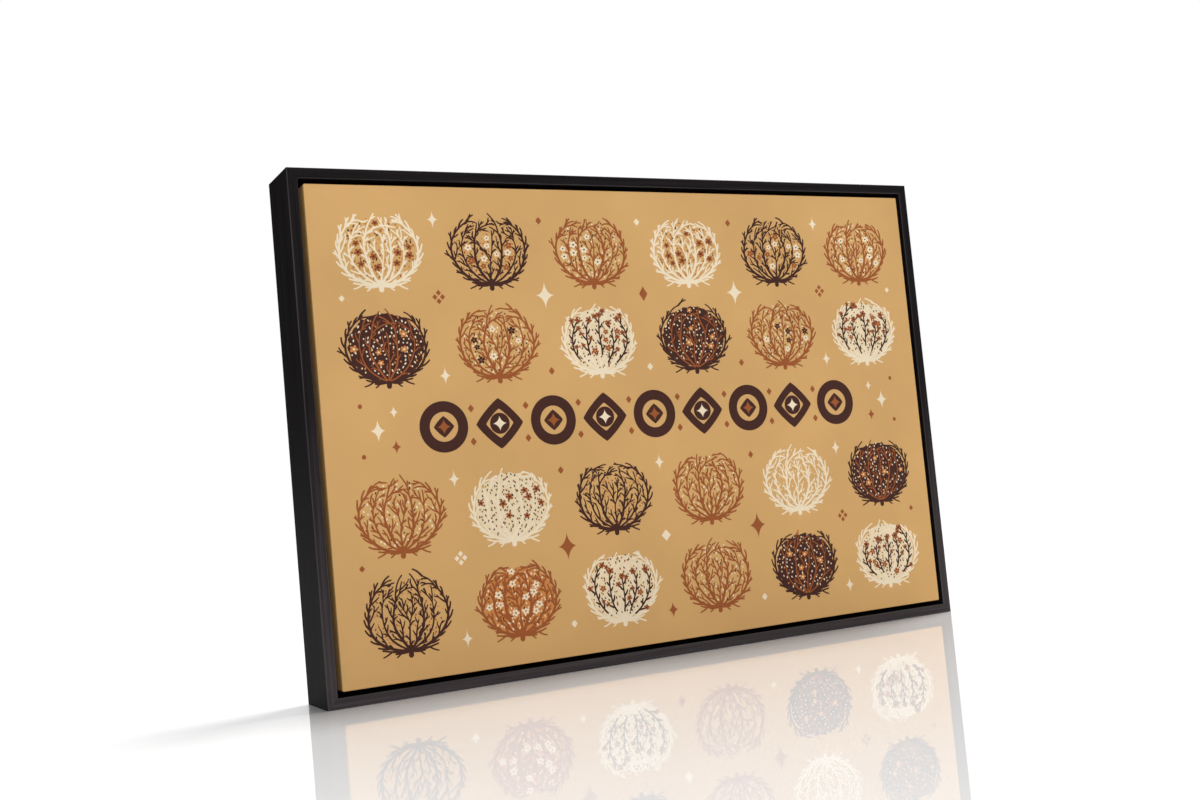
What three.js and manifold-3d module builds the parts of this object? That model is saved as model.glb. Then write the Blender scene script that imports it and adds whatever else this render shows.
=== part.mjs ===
// Framed canvas print: cloth stretched over four softwood bars, held inside a black L-section
// frame with an even shadow gap all round.
// Millimetres, +Z up, the picture faces -Y. The origin is the middle of the overall box at the
// frame's bottom edge, so the frame stands on Z = 0.

import * as THREE from "three";
import { mergeVertices } from "three/addons/utils/BufferGeometryUtils.js";
import Module from "manifold-3d";

const wasm = await Module();
wasm.setup();

// ---- Driving dimensions -------------------------------------------------------------------
const PRINT_WIDTH = 609.6; // a 24 x 16 inch stretched canvas
const PRINT_HEIGHT = 406.4;
const LIP = 8.7; // thickness of the frame's outer wall, seen from the front
const SHADOW_GAP = 4.3; // open slot between that wall and the canvas
const FRAME_DEPTH = 58; // front lip to back face
const FOOT_REACH = 32; // how far the frame's foot reaches inwards under the bars
const EASE = 0.6; // eased edges of the moulding
const CLOTH = 0.6;
const FIT = 0.3; // clearance between pieces that touch
const SET_BACK = 0.5; // the canvas face lies this far behind the frame's lip
const BAR_WIDTH = 38;
const BAR_DEPTH = 38;
const BAR_BEAD = 8; // flat outer bead that carries the cloth
const BAR_RELIEF = 4; // slope inside the bead that keeps the bar off the picture
const TURN_OVER = 26; // cloth folded onto the back of the bars
const BUMPER_HEIGHT = 2.7;

// ---- Worked out from them -----------------------------------------------------------------
const BORDER = LIP + SHADOW_GAP;
const FRAME_WIDTH = PRINT_WIDTH + 2 * BORDER;
const FRAME_HEIGHT = PRINT_HEIGHT + 2 * BORDER;
const OVERALL_DEPTH = FRAME_DEPTH + FIT + BUMPER_HEIGHT;
const FRONT = -OVERALL_DEPTH / 2; // Y of the frame's front lip
const BACK = FRONT + FRAME_DEPTH; // Y of the frame's back face
const PRINT_DEPTH = 2 * CLOTH + 2 * FIT + BAR_DEPTH;
const FOOT_FRONT = SET_BACK + PRINT_DEPTH + FIT; // depth behind the lip where the foot starts
const BAR_INSET = BORDER + CLOTH + FIT; // frame's outer face to a bar's outer face
const BAR_START = SET_BACK + CLOTH + FIT; // depth behind the lip where the bars start

// Fixing screws, two to a side, driven from the back through the foot into the bars.
const SCREW_LENGTH = 26;
const SCREW_RADIUS = 1.75;
const SCREW_HEAD_RADIUS = 3.6;
const SCREW_HEAD_HEIGHT = 2.2;
const SCREW_POINT = 5;
const RECESS_ARM = 2; // cross recess: half its width, half its slot and its depth
const RECESS_SLOT = 0.45;
const RECESS_DEPTH = 1.2;
const COUNTERBORE_RADIUS = 4.6;
const COUNTERBORE_DEPTH = 3;
const SCREW_INSET = 22; // frame's outer face to a screw's axis
const SCREW_SPREAD = 0.3; // each screw's place along its side, from the middle, over its length

// Sawtooth hanger, on the back of the top rail.
const HANGER_LENGTH = 62;
const HANGER_HEIGHT = 13;
const HANGER_SHEET = 0.9;
const HANGER_STAND_OFF = 1.5; // room for a nail's shank behind the toothed strip
const HANGER_TAB = 11; // flat tab at each end
const HANGER_STEP = 3; // length of the slope between tab and strip
const TOOTH_PITCH = 3.4;
const TOOTH_DEPTH = 2.2;
const TOOTH_COUNT = 9;
const TOOTH_FLAT = 0.2; // half the flat left on each tooth's tip
const PIN_RADIUS = 0.9;
const PIN_LENGTH = 10;
const PIN_POINT = 2;
const PIN_HEAD_RADIUS = 2.4;
const PIN_HEAD_HEIGHT = 0.8;
const HANGER_DROP = 16; // frame's top face to the hanger's middle

// Wall bumpers, on the back of the bottom rail.
const BUMPER_RADIUS = 6;
const BUMPER_INSET = 58; // frame's side face to a bumper's middle
const BUMPER_RISE = 16; // frame's bottom face to a bumper's middle

const ROUND = 16; // sides of a small round piece
const CUT_OVER = 1; // how far a cutting shape runs past the face that it cuts

const paint = new THREE.MeshStandardMaterial({ color: 0x242223, roughness: 0.55 });
const pine = new THREE.MeshStandardMaterial({ color: 0xd8b988, roughness: 0.8 });
const cloth = new THREE.MeshStandardMaterial({ color: 0xcda267, roughness: 0.9 });
const zinc = new THREE.MeshStandardMaterial({ color: 0xb9bbbd, roughness: 0.35, metalness: 1 });
const brassed = new THREE.MeshStandardMaterial({ color: 0xc4a24c, roughness: 0.35, metalness: 1 });
const rubber = new THREE.MeshStandardMaterial({ color: 0x1c1c1c, roughness: 0.8 });

// ---- Solids -------------------------------------------------------------------------------

// A closed geometry as a solid that can be cut and joined.
function solidOf(geometry) {
  const plain = geometry.clone();
  plain.deleteAttribute("normal");
  plain.deleteAttribute("uv");
  const merged = mergeVertices(plain, 1e-3);
  return new wasm.Manifold(
    new wasm.Mesh({
      numProp: 3,
      vertProperties: merged.attributes.position.array,
      triVerts: new Uint32Array(merged.index.array),
    }),
  );
}

function geometryOf(solid) {
  const made = solid.getMesh();
  const geometry = new THREE.BufferGeometry();
  geometry.setAttribute("position", new THREE.BufferAttribute(made.vertProperties, 3));
  geometry.setIndex(new THREE.BufferAttribute(made.triVerts, 1));
  geometry.computeVertexNormals();
  return geometry;
}

function cut(geometry, tools) {
  const left = tools.reduce((solid, tool) => solid.subtract(solidOf(tool)), solidOf(geometry));
  return geometryOf(left);
}

function node(name, geometry, material) {
  const mesh = new THREE.Mesh(geometry, material);
  mesh.name = name;
  return mesh;
}

// A box from its lowest to its highest corner.
function boxBetween(low, high) {
  const size = high.map((value, i) => value - low[i]);
  const middle = high.map((value, i) => (value + low[i]) / 2);
  return new THREE.BoxGeometry(...size).translate(...middle);
}

// A round hole's core along Y, from one depth to another.
function core(radius, x, z, from, to) {
  return new THREE.CylinderGeometry(radius, radius, to - from, ROUND).translate(
    x,
    (from + to) / 2,
    z,
  );
}

// A straight length with both ends mitred at 45 degrees. The section's points are (distance in
// from the outer face, depth behind the front), and the outer face runs from end to end. The
// length lies along X with its outer face on Z = 0 and its front on Y = 0.
function mitredLength(section, length) {
  const shape = new THREE.Shape(section.map(([inwards, depth]) => new THREE.Vector2(inwards, depth)));
  const geometry = new THREE.ExtrudeGeometry(shape, { depth: length, bevelEnabled: false });
  geometry.rotateY(-Math.PI / 2).translate(length / 2, 0, 0);
  const at = geometry.getAttribute("position");
  for (let i = 0; i < at.count; i++) {
    at.setX(i, Math.sign(at.getX(i)) * (length / 2 - FIT / 2 - at.getZ(i)));
  }
  return geometry;
}

// ---- One side of the frame ----------------------------------------------------------------
// Each side is made in its own frame: along X, outer face on Z = 0, front lip on Y = 0.

function railSection() {
  return [
    [EASE, 0],
    [LIP - EASE, 0],
    [LIP, EASE],
    [LIP, FOOT_FRONT],
    [FOOT_REACH, FOOT_FRONT],
    [FOOT_REACH, FRAME_DEPTH],
    [EASE, FRAME_DEPTH],
    [0, FRAME_DEPTH - EASE],
    [0, EASE],
  ];
}

function barSection() {
  return [
    [0, 0],
    [BAR_BEAD, 0],
    [BAR_WIDTH, BAR_RELIEF],
    [BAR_WIDTH, BAR_DEPTH],
    [0, BAR_DEPTH],
  ];
}

function screwPlaces(length) {
  return [-SCREW_SPREAD * length, SCREW_SPREAD * length];
}

// Depths behind the lip of a fixing screw's seat and tip.
const SCREW_SEAT = FRAME_DEPTH - COUNTERBORE_DEPTH;
const SCREW_TIP = SCREW_SEAT - SCREW_LENGTH;

function screwHole(x, z) {
  const clearance = SCREW_RADIUS + FIT;
  return [
    core(clearance, x, z, SCREW_TIP - FIT, SCREW_SEAT + FIT),
    core(COUNTERBORE_RADIUS, x, z, SCREW_SEAT - FIT, FRAME_DEPTH + FIT),
  ];
}

// Pan-head wood screw along Y with its head at the back: a pointed shank, a flat under-head and
// a shallow dome with a cross recess.
function screwGeometry() {
  const profile = [
    [0, 0],
    [SCREW_RADIUS, SCREW_POINT],
    [SCREW_RADIUS, SCREW_LENGTH],
    [SCREW_HEAD_RADIUS, SCREW_LENGTH],
    [SCREW_HEAD_RADIUS, SCREW_LENGTH + 0.5 * SCREW_HEAD_HEIGHT],
    [0.7 * SCREW_HEAD_RADIUS, SCREW_LENGTH + 0.9 * SCREW_HEAD_HEIGHT],
    [0, SCREW_LENGTH + SCREW_HEAD_HEIGHT],
  ].map(([radius, height]) => new THREE.Vector2(radius, height));
  const body = new THREE.LatheGeometry(profile, ROUND);
  const top = SCREW_LENGTH + SCREW_HEAD_HEIGHT;
  const [low, high] = [top - RECESS_DEPTH, top + CUT_OVER];
  return cut(body, [
    boxBetween([-RECESS_ARM, low, -RECESS_SLOT], [RECESS_ARM, high, RECESS_SLOT]),
    boxBetween([-RECESS_SLOT, low, -RECESS_ARM], [RECESS_SLOT, high, RECESS_ARM]),
  ]);
}

function side(name, length, extraHoles) {
  const group = new THREE.Group();
  const holes = screwPlaces(length).flatMap((x) => screwHole(x, SCREW_INSET));
  const rail = cut(mitredLength(railSection(), length), [...holes, ...extraHoles]);
  group.add(node(`frame_rail_${name}`, rail, paint));

  const barLength = length - 2 * BAR_INSET;
  const bar = mitredLength(barSection(), barLength).translate(0, BAR_START, BAR_INSET);
  group.add(node(`stretcher_bar_${name}`, cut(bar, holes), pine));

  screwPlaces(length).forEach((x, i) => {
    const screw = node(`fixing_screw_${name}_${i + 1}`, screwGeometry(), zinc);
    screw.position.set(x, SCREW_TIP + FIT, SCREW_INSET);
    group.add(screw);
  });
  return group;
}

// ---- Cloth --------------------------------------------------------------------------------
// One sheet: the picture, the four wrapped sides and the turn-over on the back of the bars.
function canvasGeometry(holes) {
  const [right, top] = [PRINT_WIDTH / 2, BORDER + PRINT_HEIGHT];
  const [front, back] = [FRONT + SET_BACK, FRONT + SET_BACK + PRINT_DEPTH];
  const flap = CLOTH + TURN_OVER;
  const block = boxBetween([-right, front, BORDER], [right, back, top]);
  const inside = boxBetween(
    [-right + CLOTH, front + CLOTH, BORDER + CLOTH],
    [right - CLOTH, back - CLOTH, top - CLOTH],
  );
  const window = boxBetween(
    [-right + flap, front + 2 * CLOTH, BORDER + flap],
    [right - flap, back + CLOTH, top - flap],
  );
  return cut(block, [inside, window, ...holes]);
}

// ---- Hanger -------------------------------------------------------------------------------
// A folded strip: flat tabs at the ends and a raised middle whose lower edge is toothed.
// Drawn around its own middle, with the tabs' back face on Y = 0.
function hangerGeometry() {
  const half = HANGER_LENGTH / 2;
  const step = half - HANGER_TAB;
  const flat = step - HANGER_STEP;
  const raised = HANGER_STAND_OFF;
  const outline = [
    [-half, 0],
    [-step, 0],
    [-flat, raised],
    [flat, raised],
    [step, 0],
    [half, 0],
    [half, HANGER_SHEET],
    [step, HANGER_SHEET],
    [flat, raised + HANGER_SHEET],
    [-flat, raised + HANGER_SHEET],
    [-step, HANGER_SHEET],
    [-half, HANGER_SHEET],
  ].map(([x, y]) => new THREE.Vector2(x, y));
  const strip = new THREE.ExtrudeGeometry(new THREE.Shape(outline), {
    depth: HANGER_HEIGHT,
    bevelEnabled: false,
  }).translate(0, 0, -HANGER_HEIGHT / 2);

  // Triangular notches from below; turning each outline upright sends its depth to -Y.
  const edge = -HANGER_HEIGHT / 2;
  const through = raised + HANGER_SHEET + 2 * CUT_OVER;
  const notches = Array.from({ length: TOOTH_COUNT }, (_, i) => {
    const x = (i - (TOOTH_COUNT - 1) / 2) * TOOTH_PITCH;
    const reach = TOOTH_PITCH / 2 - TOOTH_FLAT;
    const notch = new THREE.Shape([
      new THREE.Vector2(x - reach, edge - CUT_OVER),
      new THREE.Vector2(x + reach, edge - CUT_OVER),
      new THREE.Vector2(x, edge + TOOTH_DEPTH),
    ]);
    return new THREE.ExtrudeGeometry(notch, { depth: through, bevelEnabled: false })
      .rotateX(Math.PI / 2)
      .translate(0, through - CUT_OVER, 0);
  });
  const pinHoles = pinPlaces().map((x) =>
    core(PIN_RADIUS + FIT, x, 0, -CUT_OVER, HANGER_SHEET + CUT_OVER),
  );
  return cut(strip, [...notches, ...pinHoles]);
}

function pinPlaces() {
  const x = HANGER_LENGTH / 2 - HANGER_TAB / 2;
  return [-x, x];
}

// Round-head pin along Y with its head at the back; its under-head face is on Y = 0.
function pinGeometry() {
  const profile = [
    [0, -PIN_LENGTH],
    [PIN_RADIUS, -PIN_LENGTH + PIN_POINT],
    [PIN_RADIUS, 0],
    [PIN_HEAD_RADIUS, 0],
    [0.8 * PIN_HEAD_RADIUS, 0.6 * PIN_HEAD_HEIGHT],
    [0, PIN_HEAD_HEIGHT],
  ].map(([radius, height]) => new THREE.Vector2(radius, height));
  return new THREE.LatheGeometry(profile, ROUND);
}

// ---- Bumper -------------------------------------------------------------------------------
// A low rubber dome with its flat face towards the frame.
function bumperGeometry() {
  const profile = [
    [0, 0],
    [BUMPER_RADIUS, 0],
    [BUMPER_RADIUS, 0.45 * BUMPER_HEIGHT],
    [0.9 * BUMPER_RADIUS, 0.8 * BUMPER_HEIGHT],
    [0.65 * BUMPER_RADIUS, BUMPER_HEIGHT],
    [0, BUMPER_HEIGHT],
  ].map(([radius, height]) => new THREE.Vector2(radius, height));
  return new THREE.LatheGeometry(profile, ROUND);
}

// ---- Assembly -----------------------------------------------------------------------------
const picture = new THREE.Group();

const pinHolesInRail = pinPlaces().map((x) =>
  core(PIN_RADIUS + FIT, x, HANGER_DROP, FRAME_DEPTH - PIN_LENGTH - FIT, FRAME_DEPTH + FIT),
);
const sides = {
  bottom: { length: FRAME_WIDTH, turn: 0, place: [0, FRONT, 0], holes: [] },
  top: {
    length: FRAME_WIDTH,
    turn: Math.PI,
    place: [0, FRONT, FRAME_HEIGHT],
    holes: pinHolesInRail,
  },
  left: {
    length: FRAME_HEIGHT,
    turn: Math.PI / 2,
    place: [-FRAME_WIDTH / 2, FRONT, FRAME_HEIGHT / 2],
    holes: [],
  },
  right: {
    length: FRAME_HEIGHT,
    turn: -Math.PI / 2,
    place: [FRAME_WIDTH / 2, FRONT, FRAME_HEIGHT / 2],
    holes: [],
  },
};

const clothHoles = [];
for (const [name, { length, turn, place, holes }] of Object.entries(sides)) {
  const group = side(name, length, holes);
  group.rotation.y = turn;
  group.position.set(...place);
  group.updateMatrix();
  picture.add(group);
  for (const x of screwPlaces(length)) {
    const at = new THREE.Vector3(x, SCREW_TIP, SCREW_INSET).applyMatrix4(group.matrix);
    clothHoles.push(core(SCREW_RADIUS + FIT, at.x, at.z, BACK - FRAME_DEPTH / 2, BACK));
  }
}

picture.add(node("canvas", canvasGeometry(clothHoles), cloth));

const hangerHeight = FRAME_HEIGHT - HANGER_DROP;
const hanger = node("sawtooth_hanger", hangerGeometry(), brassed);
hanger.position.set(0, BACK + FIT, hangerHeight);
picture.add(hanger);

pinPlaces().forEach((x, i) => {
  const pin = node(`hanger_pin_${i + 1}`, pinGeometry(), brassed);
  pin.position.set(x, BACK + 2 * FIT + HANGER_SHEET, hangerHeight);
  picture.add(pin);
});

[-1, 1].forEach((hand) => {
  const bumper = node(`bumper_${hand < 0 ? "left" : "right"}`, bumperGeometry(), rubber);
  bumper.position.set(hand * (FRAME_WIDTH / 2 - BUMPER_INSET), BACK + FIT, BUMPER_RISE);
  picture.add(bumper);
});

export default picture;
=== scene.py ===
"""Looks of a framed canvas print: a picture of tumbleweeds in a deep black floating frame.

Shapes are worked out in millimetres, from the boxes of the CAD frame's own pieces: +X along the
width, the picture facing -Y, +Z up. They become metres when their meshes are made.
"""

import math

import bpy
import numpy as np
from mathutils import Matrix, Vector


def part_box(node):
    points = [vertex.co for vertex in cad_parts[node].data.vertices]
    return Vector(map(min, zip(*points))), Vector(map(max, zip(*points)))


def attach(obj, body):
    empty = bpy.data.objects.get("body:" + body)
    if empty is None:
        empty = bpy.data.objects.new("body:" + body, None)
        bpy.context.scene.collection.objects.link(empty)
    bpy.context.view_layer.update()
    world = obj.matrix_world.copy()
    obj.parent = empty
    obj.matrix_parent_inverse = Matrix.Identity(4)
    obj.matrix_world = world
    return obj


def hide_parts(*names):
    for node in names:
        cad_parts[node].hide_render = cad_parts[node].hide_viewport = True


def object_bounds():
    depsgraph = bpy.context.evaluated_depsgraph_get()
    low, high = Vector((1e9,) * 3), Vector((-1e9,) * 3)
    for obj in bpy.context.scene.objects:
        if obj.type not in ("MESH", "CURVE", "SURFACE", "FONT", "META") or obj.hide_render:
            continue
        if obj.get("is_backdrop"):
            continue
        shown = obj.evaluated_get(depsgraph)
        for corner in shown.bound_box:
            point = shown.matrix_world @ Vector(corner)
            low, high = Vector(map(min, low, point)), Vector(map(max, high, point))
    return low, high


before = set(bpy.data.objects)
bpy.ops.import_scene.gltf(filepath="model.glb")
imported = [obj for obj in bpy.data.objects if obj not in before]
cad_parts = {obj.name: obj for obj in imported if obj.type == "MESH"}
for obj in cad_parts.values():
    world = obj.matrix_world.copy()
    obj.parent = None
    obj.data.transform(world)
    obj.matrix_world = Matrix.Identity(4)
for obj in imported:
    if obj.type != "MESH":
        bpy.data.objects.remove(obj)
cad_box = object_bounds()

MM = 0.001  # metres in a millimetre
FULL_TURN = 2 * math.pi


# ---- Sizes, from the CAD frame --------------------------------------------------------------


def corners_of(node):
    """A CAD node's lowest and highest corners."""
    low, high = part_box(node)
    return np.array(low) / MM, np.array(high) / MM


FRAME_LOW = corners_of("frame_rail_left")[0]
FRAME_HIGH = corners_of("frame_rail_right")[1]
FRONT, BACK = FRAME_LOW[1], FRAME_HIGH[1]
WIDTH = FRAME_HIGH[0] - FRAME_LOW[0]
HEIGHT = corners_of("frame_rail_top")[1][2]
DEPTH = BACK - FRONT
FOOT_REACH = corners_of("frame_rail_bottom")[1][2]
CANVAS_LOW, CANVAS_HIGH = corners_of("canvas")
PRINT_HALF = np.array([CANVAS_HIGH[0], (CANVAS_HIGH[2] - CANVAS_LOW[2]) / 2])
PRINT_MIDDLE = (CANVAS_HIGH[2] + CANVAS_LOW[2]) / 2
PRINT_DEPTH = CANVAS_HIGH[1] - CANVAS_LOW[1]
BORDER = CANVAS_LOW[2]  # frame's outer face to the cloth
BAR_LOW, BAR_HIGH = corners_of("stretcher_bar_bottom")
BAR_INSET = BAR_LOW[2]
BAR_WIDTH = BAR_HIGH[2] - BAR_LOW[2]
BAR_DEPTH = BAR_HIGH[1] - BAR_LOW[1]

LIP = 8.7  # the frame's outer wall, seen from the front
FIT = 0.3  # clearance between pieces that touch
BAR_BEAD = 8  # flat outer bead of a bar, which carries the cloth
BAR_RELIEF = 4  # slope inside the bead
CLOTH = 0.5
TURN_OVER = 26  # cloth folded onto the backs of the bars

# Each side of the frame: the middle of its outer face as (x, z), the course that its length
# runs in, and the course from its outer face inwards.
SIDES = {
    "bottom": ((0, 0), (1, 0), (0, 1)),
    "top": ((0, HEIGHT), (-1, 0), (0, -1)),
    "left": ((-WIDTH / 2, HEIGHT / 2), (0, -1), (1, 0)),
    "right": ((WIDTH / 2, HEIGHT / 2), (0, 1), (-1, 0)),
}
LENGTHS = {"bottom": WIDTH, "top": WIDTH, "left": HEIGHT, "right": HEIGHT}


def on_side(side, along, inwards, depth):
    """Points on one side of the frame: the distance along it from its middle, the distance in
    from its outer face, and the depth behind the front lip."""
    start, course, inward = (np.array(v, float) for v in SIDES[side])
    along, inwards, depth = np.broadcast_arrays(along, inwards, depth)
    flat = start + along[..., None] * course + inwards[..., None] * inward
    return np.stack([flat[..., 0], FRONT + depth, flat[..., 1]], axis=-1)


# ---- Meshes ---------------------------------------------------------------------------------


def quads(rows, columns, ring=True, loop=False):
    """The faces of a grid of points numbered row by row. ring closes each row on itself, and
    loop joins the last row to the first."""
    row = np.arange(rows if loop else rows - 1)[:, None] * columns
    here = np.arange(columns if ring else columns - 1)
    after = (here + 1) % columns
    ahead = (row + columns) % (rows * columns)
    return np.stack([row + here, row + after, ahead + after, ahead + here], -1).reshape(-1, 4)


def volume_of(rings, loop):
    """The sign of a tube's inside: each ring's area vector along the way that the tube goes."""
    middles = rings.mean(axis=1)
    spokes = rings - middles[:, None]
    areas = np.cross(spokes, np.roll(spokes, -1, axis=1)).sum(axis=1)
    if loop:
        return (areas * (np.roll(middles, -1, axis=0) - middles)).sum()
    return ((areas[1:] + areas[:-1]) * np.diff(middles, axis=0)).sum()


def tubes(open_ended, looped=()):
    """Points and faces of closed tubes. Each is an array of rings, rings x points x 3. An open
    one has a face at each end, and a looped one joins its last ring to its first. A tube wound
    the wrong way round is turned."""
    points, faces, count = [], [], 0
    for rings, loop in [(r, False) for r in open_ended] + [(r, True) for r in looped]:
        if volume_of(rings, loop) < 0:
            rings = rings[:, ::-1]
        rows, columns, _ = rings.shape
        points.append(rings.reshape(-1, 3))
        faces.extend((quads(rows, columns, loop=loop) + count).tolist())
        if not loop:
            faces.append(list(range(count + columns - 1, count - 1, -1)))
            faces.append(list(range(count + (rows - 1) * columns, count + rows * columns)))
        count += rows * columns
    return np.concatenate(points), faces


def add_piece(name, points, faces, finish, slot, stands_for=(), smooth=None):
    """A new piece from points and faces. smooth is the angle, in degrees, up to which its edges
    shade smoothly."""
    mesh = bpy.data.meshes.new(name)
    mesh.from_pydata(points * MM, [], faces)
    mesh.materials.append(finish)
    if smooth:
        mesh.shade_smooth()
        mesh.set_sharp_from_angle(angle=math.radians(smooth))
    piece = bpy.data.objects.new(name, mesh)
    bpy.context.scene.collection.objects.link(piece)
    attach(piece, "root")
    if stands_for:
        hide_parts(*stands_for)
    return piece


def add_cloth_map(mesh, flat):
    """A UV map named cloth, in metres, from a place on the flat cloth for each point."""
    corner = np.zeros(len(mesh.loops), int)
    mesh.loops.foreach_get("vertex_index", corner)
    layer = mesh.uv_layers.new(name="cloth")
    layer.data.foreach_set("uv", (flat[corner] * MM).ravel())


ARC_STEPS = 4  # of a rounded corner


def rounded(corners, radii):
    """A closed outline with rounded corners, and for each point 1 on an arc or 0 off it. Each
    arc is a turn about a centre on the corner's bisector, and a point just past each of its
    ends keeps the flat beside it flat in shading."""
    corners = np.array(corners, float)
    s = np.linspace(0, 1, ARC_STEPS + 1)[:, None]
    outline, edge_wear_and_highlight = [], []
    for i, (corner, radius) in enumerate(zip(corners, radii)):
        back, on = corners[i - 1] - corner, corners[(i + 1) % len(corners)] - corner
        back, on = back / np.linalg.norm(back), on / np.linalg.norm(on)
        half = math.acos(np.clip(back @ on, -1, 1)) / 2
        reach = radius / math.tan(half)
        centre = corner + (back + on) / np.linalg.norm(back + on) * radius / math.sin(half)
        first, last = corner + back * reach - centre, corner + on * reach - centre
        turn = math.pi - 2 * half
        arc = centre + (first * np.sin((1 - s) * turn) + last * np.sin(s * turn)) / math.sin(turn)
        margin = 0.3 * radius
        outline += [corner + back * (reach + margin), *arc, corner + on * (reach + margin)]
        edge_wear_and_highlight += [0, *[1] * (ARC_STEPS + 1), 0]
    return np.array(outline), np.array(edge_wear_and_highlight, float)


def shrunk(outline, amount):
    """An outline drawn in by an amount along each point's own normal."""
    course = np.roll(outline, -1, axis=0) - np.roll(outline, 1, axis=0)
    normal = np.stack([-course[:, 1], course[:, 0]], axis=1)
    normal /= np.linalg.norm(normal, axis=1)[:, None]
    area = np.cross(outline, np.roll(outline, -1, axis=0)).sum()
    return outline + np.sign(area) * amount * normal


def mitred(side, outline, half, start, gap, ease):
    """A length of a section with mitred ends, as rings along it. The section's points are
    (inwards, depth); at an end the distance along is half the length less the distance in, so
    the end is cut at 45 degrees. ease is a small chamfer round each end."""
    small = shrunk(outline, ease)
    rings = []
    for end, section, back in (
        (-1, small, 0),
        (-1, outline, ease),
        (-1, outline, 4 * ease),
        (1, outline, 4 * ease),
        (1, outline, ease),
        (1, small, 0),
    ):
        inwards, depth = section[:, 0] + start[0], section[:, 1] + start[1]
        along = end * (half - gap / 2 - inwards - back)
        rings.append(on_side(side, along, inwards, depth))
    return np.stack(rings)


def turned(profile, count, at, rings_change=None):
    """A shape turned about a line along Y. The profile's points are (radius, depth), and the
    rings that it makes can be changed in their own axes before they are moved into place."""
    angle = np.linspace(0, FULL_TURN, count, endpoint=False)
    radius, depth = np.array(profile, float).T
    x, z = radius[:, None] * np.cos(angle), radius[:, None] * np.sin(angle)
    y = np.broadcast_to(depth[:, None], x.shape)
    rings = np.stack([x, y, z], axis=-1)
    if rings_change:
        rings = rings_change(rings)
    return rings + np.array(at, float)


# ---- Finishes -------------------------------------------------------------------------------


def tint(red, green, blue):
    """A colour from its screen values, 0 to 255, as the linear values that shaders take."""
    share = np.array([red, green, blue]) / 255
    linear = np.where(share <= 0.04045, share / 12.92, ((share + 0.055) / 1.055) ** 2.4)
    return (*linear, 1)


class Finish:
    """A material being put together round one Principled shader."""

    def __init__(self, name, colour, roughness, **plain):
        self.material = bpy.data.materials.new(name)
        self.material.use_nodes = True
        self.nodes = self.material.node_tree.nodes
        self.links = self.material.node_tree.links
        self.shader = self.nodes["Principled BSDF"]
        self.put(self.shader, {"Base Color": colour, "Roughness": roughness, **plain})

    def put(self, node, inputs):
        """Links or sets a node's inputs."""
        for name, value in inputs.items():
            socket = node.inputs[name]
            if isinstance(value, bpy.types.NodeSocket):
                self.links.new(value, socket)
            else:
                socket.default_value = value

    def add(self, kind, inputs, output=0, **settings):
        """A new node, and the output of it that is used."""
        node = self.nodes.new("ShaderNode" + kind)
        for name, value in settings.items():
            setattr(node, name, value)
        self.put(node, inputs)
        return node.outputs[output]

    def place(self, scale):
        """Object coordinates, stretched or squeezed along each axis."""
        whole = self.add("TexCoord", {}, "Object")
        return self.add("Mapping", {"Vector": whole, "Scale": scale})

    def axes(self, vector):
        """A vector's X, Y and Z."""
        node = self.nodes.new("ShaderNodeSeparateXYZ")
        self.put(node, {"Vector": vector})
        return node.outputs

    def noise(self, vector, scale=1, detail=2, roughness=0.5):
        inputs = {"Vector": vector, "Scale": scale, "Detail": detail, "Roughness": roughness}
        return self.add("TexNoise", inputs)

    def calc(self, operation, a, b=0.0):
        return self.add("Math", {0: a, 1: b}, operation=operation)

    def spread(self, value, low, high, to_low=0.0, to_high=1.0):
        """A value carried from one range to another and held inside it."""
        inputs = {"Value": value, 1: low, 2: high, 3: to_low, 4: to_high}
        return self.add("MapRange", inputs)

    def blend(self, share, a, b):
        return self.add("Mix", {0: share, 6: a, 7: b}, 2, data_type="RGBA")

    def colour(self, value):
        self.put(self.shader, {"Base Color": value})

    def rough(self, value):
        self.put(self.shader, {"Roughness": value})

    def bump(self, height, distance):
        """Relief whose full height is the distance, in millimetres."""
        inputs = {"Height": height, "Distance": distance * MM}
        self.put(self.shader, {"Normal": self.add("Bump", inputs)})


def drawn_out(course, along, across):
    """A scale for noise that is drawn out along a piece's length."""
    return (along, across, across) if course == "x" else (across, across, along)


# The charcoal is the paler tone of the front and back faces against the darker sides, a painted
# light and shade; the pair at the foot is paler still, a painted light from the floor.
CHARCOAL = (  # the darker and the paler streaks, each at the top and at the foot
    (tint(22, 20, 21), tint(54, 49, 51)),
    (tint(36, 32, 34), tint(74, 68, 69)),
)
PAINTED_LIGHT_FADE = (0.2, 0.9)  # behind the front or back face, where its charcoal starts to fade, and ends
FLOOR_LIGHT_HEIGHTS = (0.24, 0.02)  # heights where the painted light from the floor starts and where it is full, in metres


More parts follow.
